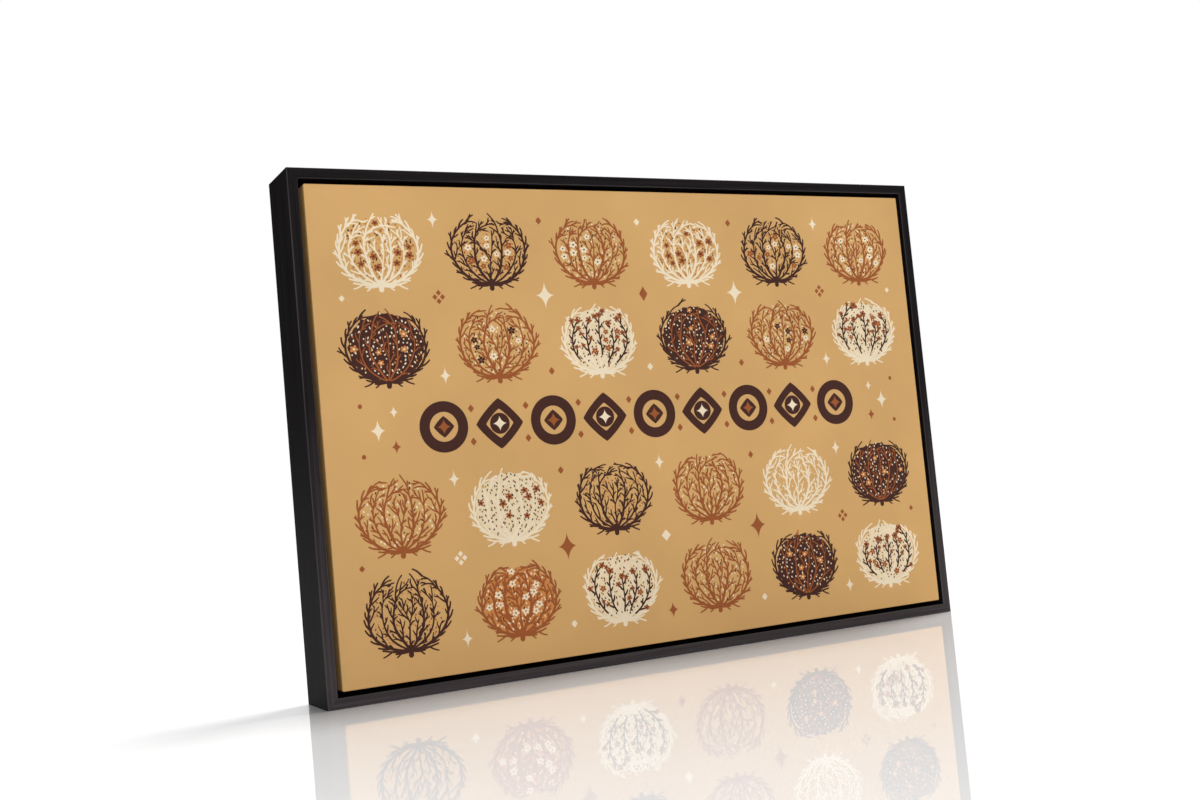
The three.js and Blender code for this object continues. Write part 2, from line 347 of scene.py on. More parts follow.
def black_stain(course):
    """Black stain over fine grain: long faint streaks; a softer charcoal on the front and back
    faces with the sides painted darker, a painted light and shade; paler towards the floor, a
    painted light from the floor; and a greyer tone on the rounded edges, partly wear and partly
    a painted highlight."""
    black = tint(17, 16, 17)
    finish = Finish("frame_paint_" + course, black, 0.5, **{"Specular IOR Level": 0.015})
    streak = finish.noise(finish.place(drawn_out(course, 7, 420)), detail=4, roughness=0.6)
    fibre = finish.noise(finish.place(drawn_out(course, 40, 1900)), detail=2)
    coarse, fine = finish.calc("MULTIPLY", streak, 0.7), finish.calc("MULTIPLY", fibre, 0.3)
    both = finish.calc("ADD", coarse, fine)
    tone = finish.spread(both, 0.36, 0.64)
    _, y, z = finish.axes(finish.place((1, 1, 1)))
    full, none = PAINTED_LIGHT_FADE
    front = finish.spread(y, (FRONT + none) * MM, (FRONT + full) * MM)
    back = finish.spread(y, (BACK - none) * MM, (BACK - full) * MM)
    # Paler towards the floor: a painted light from the floor.
    paler_share = finish.spread(z, *FLOOR_LIGHT_HEIGHTS)
    # The sides are painted darker than the front and back faces: a painted shade.
    dark = finish.blend(tone, tint(13, 12, 13), tint(34, 31, 32))
    pale = finish.blend(tone, *(finish.blend(paler_share, *streaks) for streaks in CHARCOAL))
    stain_and_painted_light = finish.blend(finish.calc("MAXIMUM", front, back), dark, pale)
    # A greyer tone on the rounded edges: partly wear, partly a painted highlight.
    edge = finish.add("Attribute", {}, "Fac", attribute_name="edge_wear_and_highlight")
    worn_and_highlit = finish.calc("MULTIPLY", edge, finish.spread(streak, 0.35, 0.6, 0.4, 0.9))
    finish.colour(finish.blend(worn_and_highlit, stain_and_painted_light, tint(82, 78, 79)))
    finish.rough(finish.spread(both, 0.35, 0.65, 0.44, 0.6))
    finish.bump(both, 0.08)
    return finish.material


def bare_pine(course):
    """Planed softwood: pale early wood and thin darker late wood along the length, and fibres."""
    finish = Finish("bare_pine_" + course, tint(222, 192, 146), 0.62)
    rings = finish.noise(finish.place(drawn_out(course, 1.6, 75)), detail=3, roughness=0.45)
    bands = finish.calc("PINGPONG", finish.calc("MULTIPLY", rings, 6.0), 0.5)
    fibre = finish.noise(finish.place(drawn_out(course, 14, 1100)), detail=3, roughness=0.6)
    pale = finish.blend(finish.spread(fibre, 0.3, 0.7), tint(229, 202, 158), tint(214, 182, 134))
    late = finish.spread(bands, 0.30, 0.48, 0.0, 0.55)
    finish.colour(finish.blend(late, pale, tint(186, 138, 84)))
    finish.rough(finish.spread(fibre, 0.3, 0.7, 0.52, 0.72))
    finish.bump(finish.calc("SUBTRACT", fibre, finish.calc("MULTIPLY", late, 0.4)), 0.08)
    return finish.material


THREAD = 0.62  # pitch of the canvas weave, in millimetres


def weave(finish):
    """The height of a plain weave from the cloth map: threads that cross over and under each
    other, |sin(pi u) sin(pi v)| + a quarter of sin(pi u) sin(pi v), with u and v counted in
    threads and pushed about a little so that no two threads are alike."""
    flat = finish.add("UVMap", {}, uv_map="cloth")
    drift = finish.noise(flat, scale=420, detail=2)
    waves = []
    for along in finish.axes(flat)[:2]:
        turns = finish.calc("MULTIPLY", along, math.pi / (THREAD * MM))
        pushed = finish.calc("ADD", turns, finish.calc("MULTIPLY", drift, 2.4))
        waves.append(finish.calc("SINE", pushed))
    crossing = finish.calc("MULTIPLY", *waves)
    top = finish.calc("ABSOLUTE", crossing)
    return finish.calc("ADD", top, finish.calc("MULTIPLY", crossing, 0.25)), flat


def printed(name, colour, dry):
    """Matt ink on canvas: the weave's crowns catch a little less ink, dry is how much, and the
    tone drifts slowly over the cloth."""
    finish = Finish(name, colour, 0.86, **{"Specular IOR Level": 0.25})
    height, flat = weave(finish)
    drift = finish.noise(flat, scale=9, detail=3)
    shade = [0.94 * c for c in colour[:3]]
    light = [min(1, 1.05 * c) for c in colour[:3]]
    tone = finish.blend(finish.spread(drift, 0.3, 0.7), (*shade, 1), (*light, 1))
    bare = finish.spread(height, 0.6, 1.2, 0.0, dry)
    finish.colour(finish.blend(bare, tone, tint(238, 224, 196)))
    finish.bump(height, 0.07)
    return finish.material


def raw_cloth():
    """Unprinted canvas, as on the back: cream threads with darker slubs."""
    finish = Finish("raw_cloth", tint(232, 222, 200), 0.92)
    height, flat = weave(finish)
    slubs = []
    for stretch in ((5, 1500, 1), (1500, 5, 1)):
        threads = finish.add("Mapping", {"Vector": flat, "Scale": stretch})
        slubs.append(finish.noise(threads, detail=2))
    slub = finish.spread(finish.calc("ADD", *slubs), 0.85, 1.35)
    tone = finish.blend(slub, tint(238, 230, 210), tint(219, 206, 178))
    shade = finish.spread(height, 0.0, 0.4, 0.22, 0.0)
    finish.colour(finish.blend(shade, tone, tint(176, 160, 130)))
    finish.bump(height, 0.16)
    return finish.material


def plated(name, colour, dull, roughness):
    """Thin plating on steel: fine drawn scratches and faint cloudy patches."""
    finish = Finish(name, colour, roughness, Metallic=1.0)
    cloud = finish.noise(finish.place((160, 160, 160)), detail=3)
    scratch = finish.noise(finish.place((700, 5200, 5200)), detail=2)
    finish.colour(finish.blend(finish.spread(cloud, 0.35, 0.9), colour, dull))
    finish.rough(finish.spread(cloud, 0.3, 0.7, roughness - 0.04, roughness + 0.06))
    finish.bump(scratch, 0.02)
    return finish.material


def black_rubber():
    """Moulded rubber: matt, dusty on its crown."""
    finish = Finish("black_rubber", tint(28, 28, 29), 0.72)
    grain = finish.noise(finish.place((2600, 2600, 2600)), detail=2)
    paler_share = finish.noise(finish.place((420, 420, 420)), detail=4)
    dusted = finish.spread(paler_share, 0.45, 0.75)
    finish.colour(finish.blend(dusted, tint(26, 26, 27), tint(52, 51, 50)))
    finish.bump(grain, 0.05)
    return finish.material


INKS = {
    "ground": (205, 162, 104),
    "cream": (233, 217, 188),
    "sand": (228, 208, 172),
    "rust": (150, 82, 42),
    "amber": (198, 130, 70),
    "brown": (66, 36, 30),
}
PAINT = {course: black_stain(course) for course in "xz"}
PINE = {course: bare_pine(course) for course in "xz"}
COURSES = {"bottom": "x", "top": "x", "left": "z", "right": "z"}
ZINC = plated("zinc_steel", tint(196, 198, 202), tint(160, 163, 168), 0.34)
BRASSED = plated("brassed_steel", tint(214, 178, 98), tint(184, 146, 74), 0.3)
RUBBER = black_rubber()
RAW_CLOTH = raw_cloth()
PRINTED = {
    ink: printed("print_" + ink, tint(*rgb), 0.03 if ink == "brown" else 0.07)
    for ink, rgb in INKS.items()
}


# ---- Frame and bars -------------------------------------------------------------------------


SEAT_RADIUS = 4.6
SEAT_DEPTH = 3
SEAT_FACETS = 40
ROUND_FACETS = 48  # of screws, pins and bumpers


def with_seats(piece, places):
    """Cuts round seats for screw heads into a piece's back face."""
    wall = [(SEAT_RADIUS, BACK - SEAT_DEPTH), (SEAT_RADIUS, BACK + 1)]
    seats = [turned(wall, SEAT_FACETS, (x, 0, z)) for x, z in places]
    cutter = bpy.data.meshes.new("seats")
    points, faces = tubes(seats)
    cutter.from_pydata(points * MM, [], faces)
    tool = bpy.data.objects.new("seats", cutter)
    bpy.context.scene.collection.objects.link(tool)
    change = piece.modifiers.new("seats", "BOOLEAN")
    change.operation = "DIFFERENCE"
    change.object = tool
    graph = bpy.context.evaluated_depsgraph_get()
    cut = bpy.data.meshes.new_from_object(piece.evaluated_get(graph))
    piece.modifiers.clear()
    bpy.data.objects.remove(tool)
    cut.name = piece.name
    cut.set_sharp_from_angle(angle=math.radians(30))
    piece.data = cut


def screw_names(side):
    """The CAD nodes of the two screws through one side's foot."""
    return [f"fixing_screw_{side}_{i}" for i in (1, 2)]


# The edges of a rail's section, from the outer front one round by the picture to the outer back
# one: how round each is, and how much greyer tone it gets, partly wear and partly a painted
# highlight.
RAIL_EDGES = ((0.7, 0.6), (0.55, 0.6), (0.8, 0.4), (0.8, 0.2), (0.8, 0.7), (0.8, 0.0))
RAIL_MITRE = (0.08, 0.12)  # the gap between two mitred ends, and the chamfer round each
BAR_EDGES = (1.2, 1.5, 1.0, 1.2, 1.0)
BAR_MITRE = (0.15, 0.15)


def frame_rail(side):
    """One side of the L-section frame: a lip that stands round the picture and a foot behind."""
    foot_front = CANVAS_HIGH[1] - FRONT + FIT
    corners = [
        (0, 0),
        (LIP, 0),
        (LIP, foot_front),
        (FOOT_REACH, foot_front),
        (FOOT_REACH, DEPTH),
        (0, DEPTH),
    ]
    radii, wear_and_highlight = zip(*RAIL_EDGES)
    outline, edge_wear_and_highlight = rounded(corners, radii)
    rings = mitred(side, outline, LENGTHS[side] / 2, (0, 0), *RAIL_MITRE)
    points, faces = tubes([rings])
    piece = add_piece(
        f"rail_{side}",
        points,
        faces,
        PAINT[COURSES[side]],
        slot="frame_paint",
        stands_for=[f"frame_rail_{side}"],
        smooth=30,
    )
    # A rail's rings are wound the other way by tubes(), so its wear and painted highlight run
    # backwards too.
    edge_wear_and_highlight = (edge_wear_and_highlight * np.repeat(wear_and_highlight, len(edge_wear_and_highlight) // len(corners)))[::-1]
    layer = piece.data.attributes.new("edge_wear_and_highlight", "FLOAT", "POINT")
    layer.data.foreach_set("value", np.tile(edge_wear_and_highlight, len(rings)))
    lows, highs = zip(*(corners_of(name) for name in screw_names(side)))
    middles = (np.array(lows) + np.array(highs)) / 2
    with_seats(piece, middles[:, [0, 2]])


def stretcher_bar(side):
    """A pine bar with a flat bead at its outer front edge and a slope inside it."""
    corners = [
        (0, 0),
        (BAR_BEAD, 0),
        (BAR_WIDTH, BAR_RELIEF),
        (BAR_WIDTH, BAR_DEPTH),
        (0, BAR_DEPTH),
    ]
    outline, _ = rounded(corners, BAR_EDGES)
    start = (BAR_INSET, BAR_LOW[1] - FRONT)
    rings = mitred(side, outline, LENGTHS[side] / 2, start, *BAR_MITRE)
    add_piece(
        f"bar_{side}",
        *tubes([rings]),
        PINE[COURSES[side]],
        slot="bare_pine",
        stands_for=[f"stretcher_bar_{side}"],
        smooth=30,
    )


for side in SIDES:
    frame_rail(side)
    stretcher_bar(side)


# ---- Canvas ---------------------------------------------------------------------------------

EDGE_ROUND = 0.8  # the cloth's turn over the bars' front and back edges
CORNER_ROUND = 1.3  # and round the four corners, seen from the front
FINEST_ROUND = 0.4
CELLS = (60, 40)  # of the front's grid
CORNER_STEPS = 6
INK_ON_FLAP = 6  # how far from the side the ink goes on the turned-over cloth
CORNER_FOLD = 0.55  # how far the cloth folded double at a corner stands up
WAVES = ((0.5, 23, 0), (0.4, 57, 1))  # height, count and start of the cut edge's wander


def cloth_border():
    """The stations round a ring of cloth, in order. A ring is a rectangle with round corners:
    the station's share of each half size, and the course outwards there. With them comes the
    front grid's point that each is joined to."""
    columns, rows = CELLS
    shares, normals, joins = [], [], []
    turns = np.linspace(0, math.pi / 2, CORNER_STEPS)
    # Each run goes along one side and ends with a corner: its first point, its step and length.
    runs = (
        ((0, 0), (1, 0), columns, -math.pi / 2),
        ((columns, 0), (0, 1), rows, 0.0),
        ((columns, rows), (-1, 0), columns, math.pi / 2),
        ((0, rows), (0, -1), rows, math.pi),
    )
    for first, step, count, facing in runs:
        places = np.array(first) + np.arange(1, count)[:, None] * step
        corner = np.array(first) + count * np.array(step)
        places = np.vstack([places, np.tile(corner, (CORNER_STEPS, 1))])
        facings = np.concatenate([np.full(count - 1, facing), facing + turns])
        shares.append(2 * places / CELLS - 1)
        normals.append(np.stack([np.cos(facings), np.sin(facings)], axis=1))
        joins.append(places[:, 1] * (columns + 1) + places[:, 0])
    return np.concatenate(shares), np.concatenate(normals), np.concatenate(joins)


def cloth_profile():
    """The cloth's line from the front over the side to the turned-over edge: how far in from
    the side and how deep, both eased by quarter turns, and where on it the flap starts."""
    quarter = np.linspace(0, math.pi / 2, 6)
    over = EDGE_ROUND * (1 - np.stack([np.sin(quarter), np.cos(quarter)], axis=1))
    side = np.stack([np.zeros(9), np.linspace(0, PRINT_DEPTH, 11)[1:-1]], axis=1)
    under = over[::-1] * (1, -1) + (0, PRINT_DEPTH)
    reach = np.linspace(EDGE_ROUND, TURN_OVER + CLOTH, 9)[1:]
    flap = np.stack([reach, np.full(8, PRINT_DEPTH)], axis=1)
    return np.vstack([over, side, under, flap])


def canvas():
    """One sheet of cloth: a flat grid for the picture, and rings round it that follow the
    profile over the sides to the flaps. A ring's point is the corner centre's share plus the
    corner radius along the outward course."""
    shares, normals, joins = cloth_border()
    profile = cloth_profile()
    inset, depth = profile[:, 0, None, None], profile[:, 1, None]
    radius = np.maximum(CORNER_ROUND - inset, FINEST_ROUND)
    rings = (PRINT_HALF - inset - radius) * shares + radius * normals
    travel = np.cumsum(np.linalg.norm(np.diff(profile, axis=0, prepend=profile[:1]), axis=1))
    ring_flat = (1 - np.abs(normals)) * rings + normals * (
        PRINT_HALF - EDGE_ROUND + travel[:, None, None]
    )
    # The flap's cut edge wanders, and its corners are folded double.
    flap = np.clip((inset - EDGE_ROUND) / TURN_OVER, 0, 1)
    turn = np.linspace(0, FULL_TURN, len(shares), endpoint=False)
    wander = sum(height * np.sin(count * turn + start) for height, count, start in WAVES)
    rings = rings + normals * wander[:, None] * flap**6
    doubled = CORNER_FOLD * np.clip(np.abs(normals).min(axis=1) * 3, 0, 1)
    depth = depth + doubled * np.clip(6 * flap[..., 0] - 4, 0, 1)

    columns, rows = CELLS
    across, up = np.meshgrid(np.linspace(-1, 1, columns + 1), np.linspace(-1, 1, rows + 1))
    grid = np.stack([across, up], axis=-1).reshape(-1, 2) * (
        PRINT_HALF - EDGE_ROUND - radius[0, 0, 0]
    )
    flat = np.concatenate([grid, ring_flat.reshape(-1, 2)])
    place = np.concatenate([grid, rings.reshape(-1, 2)])
    back = np.concatenate([np.zeros(len(grid)), np.broadcast_to(depth, rings.shape[:2]).ravel()])
    points = np.stack([place[:, 0], CANVAS_LOW[1] + back, PRINT_MIDDLE + place[:, 1]], axis=1)

    around = len(shares)
    first = len(grid)
    faces = quads(rows + 1, columns + 1, ring=False).tolist()
    station = np.arange(around)
    after = (station + 1) % around
    rim = np.stack([joins, first + station, first + after, joins[after]], axis=1)
    faces += [[a, b, c] if a == d else [a, b, c, d] for a, b, c, d in rim.tolist()]
    skirt = quads(len(profile), around)[:, ::-1] + first
    faces += skirt.tolist()
    piece = add_piece(
        "stretched_canvas",
        points,
        faces,
        PRINTED["ground"],
        slot="canvas_cloth",
        stands_for=["canvas"],
        smooth=40,
    )
    piece.data.materials.append(RAW_CLOTH)
    unprinted = int((profile[:, 0] < INK_ON_FLAP).sum()) + 1  # rings to where the ink stops
    bare = np.arange(len(faces)) >= len(faces) - (len(profile) - unprinted) * around
    piece.data.polygons.foreach_set("material_index", bare.astype(np.int32))
    add_cloth_map(piece.data, flat)
    wall = piece.modifiers.new("cloth thickness", "SOLIDIFY")
    wall.thickness = CLOTH * MM
    wall.offset = -1
    wall.material_offset = 1
    wall.material_offset_rim = 1


canvas()


# ---- Staples, screws, hanger and bumpers ----------------------------------------------------

STAPLE_CROWN = 10
STAPLE_LEG = 6
STAPLE_WIRE = (1.25, 0.55)  # wide and thick
STAPLE_INSET = 36  # on the strip of cloth that shows beside the frame's foot
STAPLE_PITCH = 56
STAPLE_BEND = 0.7
STAPLE_MARGIN = 22  # from the cloth's folded corner to the first staple


def staple():
    """A bent flat wire, as rings of (along, inwards, depth) round the middle of its crown. The
    line goes down one leg, over the crown and down the other, with small round bends."""
    half, bend = STAPLE_CROWN / 2, STAPLE_BEND
    quarter = np.linspace(0, math.pi / 2, 4)
    turn = np.stack([half - bend + bend * np.sin(quarter), bend * np.cos(quarter) - bend], axis=1)
    leg = np.array([[half, -0.6 * STAPLE_LEG], [half, -STAPLE_LEG]])
    line = np.vstack([turn, leg])
    line = np.vstack([line[::-1] * (-1, 1), line])
    course = np.gradient(line, axis=0)
    course /= np.linalg.norm(course, axis=1)[:, None]
    normal = np.stack([-course[:, 1], course[:, 0]], axis=1)
    wide, thick = STAPLE_WIRE
    taper = np.ones(len(line))
    taper[[0, -1]] = 0.25
    rings = []
    for sign, lift in ((-1, -1), (1, -1), (1, 1), (-1, 1)):
        flat = line + normal * (lift * thick / 2 * taper)[:, None]
        beside = np.full(len(line), sign * wide / 2)
        rings.append(np.stack([flat[:, 0], beside, flat[:, 1]], axis=1))
    return np.stack(rings, axis=1)


def staples():
    """Staples through the turned-over cloth, evenly along each side and a little askew."""
    rng = np.random.default_rng(7)
    one = staple()
    cloth_back = CANVAS_HIGH[1] - FRONT
    placed = []
    for side, length in LENGTHS.items():
        reach = length / 2 - BORDER - TURN_OVER - STAPLE_MARGIN
        count = int(round(2 * reach / STAPLE_PITCH)) + 1
        for along in np.linspace(-reach, reach, count):
            skew = rng.uniform(-0.12, 0.12)
            run = one[..., 0] * math.cos(skew) - one[..., 1] * math.sin(skew)
            inward = one[..., 0] * math.sin(skew) + one[..., 1] * math.cos(skew)
            placed.append(
                on_side(
                    side,
                    along + rng.uniform(-3, 3) + run,
                    STAPLE_INSET + rng.uniform(-0.5, 0.5) + inward,
                    cloth_back + 0.5 * STAPLE_WIRE[1] + one[..., 2],
                )
            )
    add_piece("staples", *tubes(placed), ZINC, slot="zinc_steel", smooth=35)


staples()

SCREW_LENGTH = 26
SCREW_RADIUS = 1.75
SCREW_PITCH = 1.9
SCREW_POINT = 5
HEAD_RADIUS = 3.6
HEAD_HEIGHT = 2.2
RECESS_ARM = 2.1
RECESS_SLOT = 0.42
RECESS_DEPTH = 1.3


def screw_profile():
    """A threaded shank with a point, a flat under-head, and a domed head in close rings."""
    shank = np.linspace(0, SCREW_LENGTH - 2, 78)
    point = SCREW_RADIUS * np.clip(shank / SCREW_POINT, 0.02, 1)
    neck = [(0.8 * SCREW_RADIUS, SCREW_LENGTH - 1.6), (0.8 * SCREW_RADIUS, SCREW_LENGTH)]
    across = np.array([1, 0.97, 0.9, 0.8, 0.7, 0.62, 0.54, 0.46, 0.38, 0.3, 0.22, 0.14, 0.02])
    dome = SCREW_LENGTH + HEAD_HEIGHT * (0.45 + 0.55 * np.sqrt(1 - 0.92 * across**2.4))
    head = [(HEAD_RADIUS * 0.96, SCREW_LENGTH), (HEAD_RADIUS, SCREW_LENGTH + 0.3)]
    top = np.stack([HEAD_RADIUS * across, dome], axis=1)
    return np.vstack([np.stack([point, shank], axis=1), neck, head, top]), len(shank)


def screw(name):
    """A pan-head wood screw. The thread is a ridge where the turn and the height keep step; the
    cross recess sinks the rings wherever a point is inside either arm."""
    low, high = corners_of(name)
    profile, shank = screw_profile()

    def shaped(rings):
        x, y, z = np.moveaxis(rings, -1, 0).copy()
        turn = np.arctan2(z, x) / FULL_TURN
        ridge = np.abs((y / SCREW_PITCH - turn) % 1 - 0.5) * 2
        groove = 1 - 0.3 * np.clip(1.6 * ridge - 0.3, 0, 1)
        groove[shank:] = 1
        near, far = np.minimum(np.abs(x), np.abs(z)), np.maximum(np.abs(x), np.abs(z))
        inside = np.clip((RECESS_SLOT + 0.2 - near) / 0.2, 0, 1)
        inside = inside * np.clip((RECESS_ARM + 0.3 - far) / 0.3, 0, 1)
        inside[: shank + 4] = 0
        return np.stack([x * groove, y - RECESS_DEPTH * inside, z * groove], axis=-1)

    at = ((low[0] + high[0]) / 2, low[1], (low[2] + high[2]) / 2)
    rings = turned(profile, ROUND_FACETS, at, shaped)
    add_piece(
        name.replace("fixing_", ""),
        *tubes([rings]),
        ZINC,
        slot="zinc_steel",
        stands_for=[name],
        smooth=40,
    )


for side in SIDES:
    for name in screw_names(side):
        screw(name)

HANGER_SHEET = 0.9
HANGER_STAND_OFF = 1.5
HANGER_TAB = 11
HANGER_STEP = 3
TOOTH_PITCH = 3.4
TOOTH_DEPTH = 2.2
TOOTH_COUNT = 9


def sawtooth_hanger():
    """A folded strip: tabs, slopes and a raised middle along its length, and a lower edge that
    rises to a notch at each pitch. Its height above that edge is spread evenly over the strip."""
    low, high = corners_of("sawtooth_hanger")
    half = (high[0] - low[0]) / 2
    toothed = TOOTH_COUNT * TOOTH_PITCH / 2
    teeth = np.linspace(-toothed, toothed, 8 * TOOTH_COUNT + 1)
    tab = np.linspace(-half, -toothed, 22)[:-1]
    across = np.concatenate([tab, teeth, -tab[::-1]])
    step = half - HANGER_TAB
    rise = np.clip((step - np.abs(across)) / HANGER_STEP, 0, 1)
    lift = HANGER_STAND_OFF * rise**2 * (3 - 2 * rise)
    notch = np.abs((across / TOOTH_PITCH) % 1 - 0.5) * 2
    notch = np.where(np.abs(across) < toothed, np.clip(1.12 * notch - 0.06, 0, 1), 0)
    edge = low[2] + TOOTH_DEPTH * notch
    end = np.clip(half - np.abs(across), 0, 1.5) / 1.5
    trim = 1.5 * (1 - np.sqrt(np.clip(1 - (1 - end) ** 2, 0, 1)))
    bottom, top = edge + trim, high[2] - trim
    level = np.linspace(0, 1, 9)[:, None]
    z = bottom + (top - bottom) * level
    x, y = np.broadcast_to(across, z.shape), np.broadcast_to(low[1] + lift, z.shape)
    points = np.stack([x, y, z], axis=-1).reshape(-1, 3)
    piece = add_piece(
        "sawtooth_strip",
        points,
        quads(*z.shape, ring=False).tolist(),
        BRASSED,
        slot="brassed_steel",
        stands_for=["sawtooth_hanger"],
        smooth=35,
    )
    sheet = piece.modifiers.new("sheet", "SOLIDIFY")
    sheet.thickness = HANGER_SHEET * MM
    sheet.offset = -1
    eased = piece.modifiers.new("eased", "BEVEL")
    eased.width = 0.12 * MM
    eased.segments = 2
    eased.angle_limit = math.radians(50)


sawtooth_hanger()


def small_round(name, piece_name, profile, finish, slot):
    """A small turned piece in place of a CAD node, its profile as shares of the node's own
    radius and length."""
    low, high = corners_of(name)
    radius, length = (high[0] - low[0]) / 2, high[1] - low[1]
    scaled = np.array(profile) * (radius, length)
    at = ((low[0] + high[0]) / 2, low[1], (low[2] + high[2]) / 2)
    rings = turned(scaled, ROUND_FACETS, at)
    add_piece(piece_name, *tubes([rings]), finish, slot=slot, stands_for=[name], smooth=35)


def quarter_turn(centre, reach):
    """Points from straight out to straight back: centre + reach (cos a, sin a)."""
    angle = np.linspace(0, math.pi / 2, 9)[1:]
    return [*(np.array(centre) + np.stack([np.cos(angle), np.sin(angle)], axis=1) * reach)]


PIN = [(0.01, 0), (0.375, 0.185), (0.375, 0.92), (0.96, 0.925), (1.0, 0.935)]
PIN += quarter_turn((0.004, 0.935), (1, 0.065))
for i in (1, 2):
    small_round(f"hanger_pin_{i}", f"strip_pin_{i}", PIN, BRASSED, "brassed_steel")

BUMPER = [(0.02, 0), (0.96, 0), (1.0, 0.05), (1.0, 0.35)]
BUMPER += quarter_turn((0.6, 0.35), (0.4, 0.65))
BUMPER += [(0.45, 1.0), (0.2, 1.0), (0.02, 1.0)]
for hand in ("left", "right"):
    small_round(f"bumper_{hand}", f"wall_bumper_{hand}", BUMPER, RUBBER, "black_rubber")


# ---- The print ------------------------------------------------------------------------------
# Drawn flat, as (x, z) about the middle of the picture. A bush is drawn in its own units: it is
# a globe of radius 1 about its middle, and BUSH_RADIUS and GLOBE_SQUASH bring it to size. Its
# angles are in radians. A range is the lowest and the highest value of a random draw.

BUSH_RADIUS = 35
GLOBE_SQUASH = 0.88  # a bush is a little wider than it's tall
BOUGH = 0.084  # widest bough, over the bush's radius
TWIG = 0.047
CLEARANCE = 0.083  # twigs keep this far apart
COLUMN_PITCH = 98.5
FIRST_SEED = 100
INK_HEIGHT = 0.05  # the lowest ink over the cloth
INK_STEP = 0.0006  # from one mark to the next
INK_BASE = CANVAS_LOW[1] + 0.05  # a mark's underside, just inside the cloth
BUSH_ROWS = (  # height above the picture's middle, and the kinds from left to right
    (148.8, "cream_open brown_open rust_open cream_open brown_open rust_open"),
    (69.0, "brown_full rust_dark cream_sprig brown_full rust_dark cream_sprig"),
    (-69.6, "rust_plain cream_full brown_plain rust_plain cream_plain brown_full"),
    (-149.2, "brown_plain rust_full cream_sprig rust_plain brown_full cream_sprig"),
)

# How each kind of bush is drawn: the inks of its boughs, inner twigs, filled globe and sprigs,
# how thick its inner boughs are, whether a filled one has all its twigs, then its dabs as
# (ink, how many) and its blossoms as (petals, middle, how many).
BUSHES = {
    "cream_open": dict(
        boughs="cream",
        dabs=(("rust", 40), ("amber", 34), ("brown", 16)),
        blossoms=(("rust", "brown", 10),),
    ),
    "brown_open": dict(
        boughs="brown",
        dabs=(("amber", 40), ("rust", 26)),
        blossoms=(("cream", "rust", 6), ("rust", "amber", 5)),
    ),
    "rust_open": dict(
        boughs="rust",
        dabs=(("cream", 40), ("amber", 12), ("brown", 34)),
        blossoms=(("cream", "brown", 8),),
    ),
    "rust_dark": dict(
        boughs="rust",
        dabs=(("cream", 44), ("brown", 34)),
        blossoms=(("brown", "rust", 4), ("cream", "rust", 3)),
    ),
    "brown_full": dict(
        boughs="brown",
        twigs="rust",
        inner=0.66,
        fill="brown",
        dabs=(("cream", 84), ("amber", 24)),
        blossoms=(("amber", "cream", 5),),
    ),
    "rust_full": dict(
        boughs="rust",
        inner=1.25,
        fill="amber",
        bushy=True,
        dabs=(("cream", 44), ("sand", 24), ("brown", 30)),
        blossoms=(("cream", "rust", 12),),
    ),
    "cream_full": dict(
        boughs="cream",
        fill="sand",
        dabs=(("brown", 110), ("rust", 50)),
        blossoms=(("rust", "brown", 9),),
    ),
    "cream_sprig": dict(
        boughs="cream",
        fill="sand",
        sprigs="brown",
        dabs=(("brown", 60), ("rust", 40), ("cream", 20)),
        blossoms=(("rust", "amber", 8),),
    ),
    "rust_plain": dict(boughs="rust", dabs=(("cream", 38), ("brown", 10))),
    "brown_plain": dict(boughs="brown", dabs=(("rust", 30), ("amber", 26))),
    "cream_plain": dict(boughs="cream", dabs=(("sand", 30),)),
}


def heading(angles):
    """Unit courses (cos a, sin a)."""
    return np.stack([np.cos(angles), np.sin(angles)], axis=-1)


def lengths_along(line):
    """The distance from a line's start to each of its points: its steps' lengths added up."""
    steps = np.linalg.norm(np.diff(line, axis=0), axis=1)
    return np.concatenate([[0], np.cumsum(steps)])


def place_on(line, along, at):
    """The point at a distance along a line, and the line's course there as an angle."""
    at = min(at, along[-1])
    reach = [at - 0.03, at, at + 0.03]
    behind, point, ahead = np.stack([np.interp(reach, along, line[:, k]) for k in (0, 1)], 1)
    across, up = ahead - behind
    return point, math.atan2(up, across)


class Bush:
    """The marks drawn so far, and the points that later ones keep clear of. A mark is its layer,
    its ink, its line and its widths; a filled shape has an outline and no widths."""

    def __init__(self, seed):
        self.rng = np.random.default_rng(seed)
        self.drawn = []
        self.taken = np.zeros((0, 2))

    def marks(self):
        """The marks from the lowest layer up, each layer in the order it was drawn."""
        return sorted(self.drawn, key=lambda mark: mark[0])

    def stroke(self, ink, line, widths, layer):
        """A line with a width at each point. Two points for each of its own are kept clear."""
        self.drawn.append((layer, ink, line, widths))
        fine = np.linspace(0, len(line) - 1, 2 * len(line))
        dense = [np.interp(fine, np.arange(len(line)), line[:, k]) for k in (0, 1)]
        self.taken = np.vstack([self.taken, np.stack(dense, axis=1)])

    def shape(self, ink, outline, layer):
        """A filled outline."""
        self.drawn.append((layer, ink, outline, None))

    def gaps(self, points):
        """How far each point is from everything drawn."""
        squared = (points**2).sum(axis=1)[:, None] + (self.taken**2).sum(axis=1)
        squared = squared - 2 * points @ self.taken.T
        return np.sqrt(np.maximum(squared.min(axis=1), 0))


def rib(rng, bulge, end, start=0.02):
    """A bough's line, s running from the foot to the crown. Sideways it swells as
    bulge * sin(pi s). Upwards it is -cos(pi s), a circle, where the bulge is wide, and a
    straight rise where it is narrow. A slow sine makes it waver."""
    s = np.linspace(start, end, 22)
    wide = abs(bulge) ** 2.2
    rise = (1 - wide) * (2 * s - 1) - wide * np.cos(math.pi * s)
    across = bulge * np.sin(math.pi * s) ** 0.9
    waver = rng.uniform(0.014, 0.026) * np.sin(FULL_TURN * (1.7 * s + rng.random()))
    return np.stack([across + waver * np.minimum(1, 5 * s), 0.95 * rise], axis=1)


